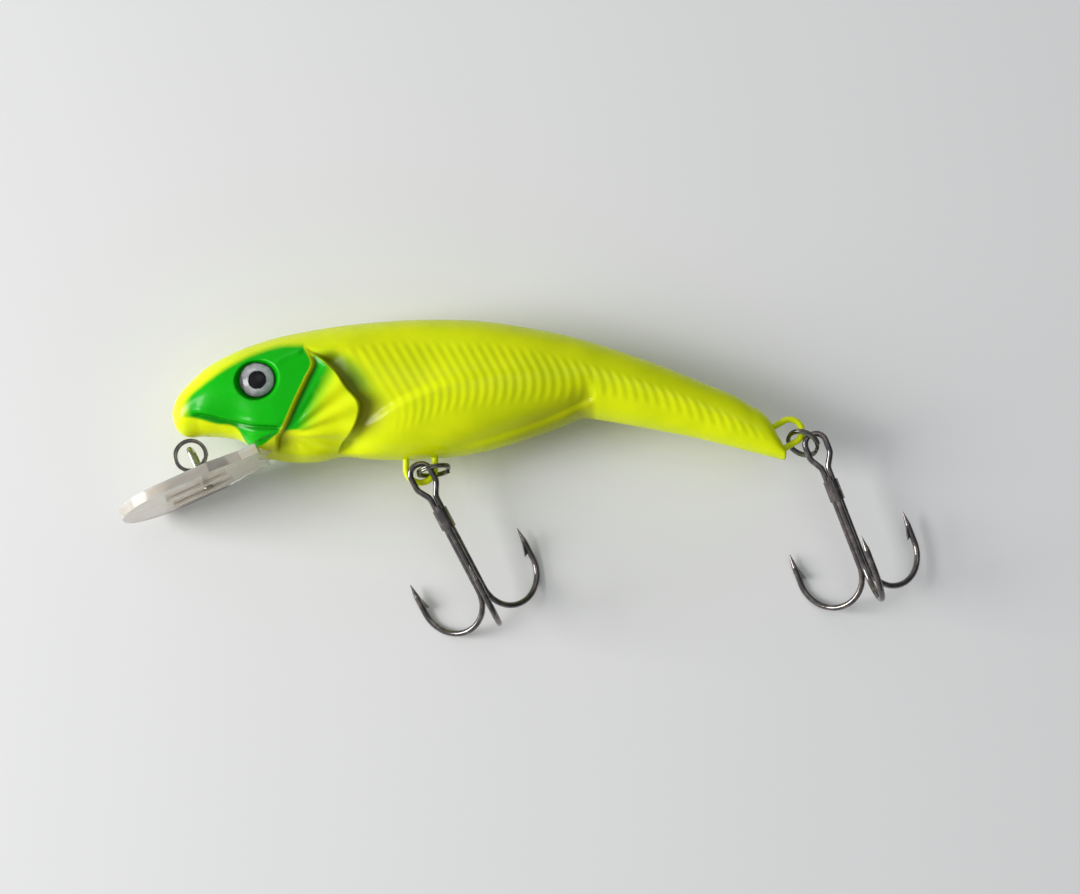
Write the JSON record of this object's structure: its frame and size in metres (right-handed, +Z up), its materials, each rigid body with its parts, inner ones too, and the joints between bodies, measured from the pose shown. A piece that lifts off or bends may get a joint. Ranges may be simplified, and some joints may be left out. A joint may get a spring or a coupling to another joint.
{
  "type": "crankbait lure",
  "caption": "Minnow-shaped diving lure with a clear angled lip, domed eyes, internal rattle and weights, and treble hooks on split rings.",
  "frame": {"origin": "on the table, under the centre of the whole lure's bounding box, with the lure lying on its right side", "axes": "+X to the tail, +Y to the back, +Z up, out of the lure's left side; the median plane is at Z = 7.5 mm"},
  "size_m": [0.1134, 0.0446, 0.0168],
  "materials": {
    "painted_body": "gloss fluorescent yellow, green head",
    "clear_lip": "clear polycarbonate, gloss",
    "steel_wire": "bright stainless wire",
    "ring_steel": "dark nickel",
    "painted_wire": "gloss, sprayed over",
    "eye_foil": "silver foil with a black pupil",
    "eye_dome": "clear resin, gloss",
    "lead": "cast lead alloy",
    "ball_steel": "polished",
    "black_nickel": "black nickel, bright",
    "braze": "plated over"
  },
  "bodies": {
    "lure": {"shell_left": "painted_body", "shell_right": "painted_body", "diving_lip": "clear_lip", "line_tie_eye": "steel_wire", "belly_hanger": "painted_wire", "tail_hanger": "painted_wire", "eye_foil_left": "eye_foil", "eye_foil_right": "eye_foil", "eye_dome_left": "eye_dome", "eye_dome_right": "eye_dome", "belly_weight_front": "lead", "belly_weight_rear": "lead", "nose_weight": "lead"},
    "rattle": {"rattle_ball_front": "ball_steel", "rattle_ball_middle": "ball_steel", "rattle_ball_rear": "ball_steel"},
    "line_ring": {"line_ring": "ring_steel"},
    "belly_ring": {"belly_ring": "ring_steel"},
    "belly_hook": {"belly_double_hook": "black_nickel", "belly_single_hook": "black_nickel", "belly_braze": "braze"},
    "tail_ring": {"tail_ring": "ring_steel"},
    "tail_hook": {"tail_double_hook": "black_nickel", "tail_single_hook": "black_nickel", "tail_braze": "braze"}
  },
  "joints": [
    {"name": "rattle_slide", "type": "slide", "parent": "lure", "child": "rattle", "axis": [1, 0, 0], "range_m": [0, 0.005]},
    {"name": "line_ring_swing", "type": "hinge", "parent": "lure", "child": "line_ring", "pos_m": [-0.04712, 0.00366, 0.0075], "axis": [0, 0, 1], "range_deg": [-40, 40]},
    {"name": "belly_ring_swing", "type": "hinge", "parent": "lure", "child": "belly_ring", "pos_m": [-0.0146, 0.0011, 0.0075], "axis": [0, 0, 1], "range_deg": [-60, 15]},
    {"name": "belly_hook_lift", "type": "hinge", "parent": "belly_ring", "child": "belly_hook", "pos_m": [-0.0148, 0.0002, 0.00856], "axis": [-0.8832, -0.4691, 0], "range_deg": [0, 30]},
    {"name": "tail_ring_swing", "type": "hinge", "parent": "lure", "child": "tail_ring", "pos_m": [0.03765, 0.0064, 0.0075], "axis": [0, 0, 1], "range_deg": [-10, 110]},
    {"name": "tail_hook_lift", "type": "hinge", "parent": "tail_ring", "child": "tail_hook", "pos_m": [0.04139, 0.00416, 0.00798], "axis": [-0.9338, -0.3579, 0], "range_deg": [0, 60]}
  ]
}
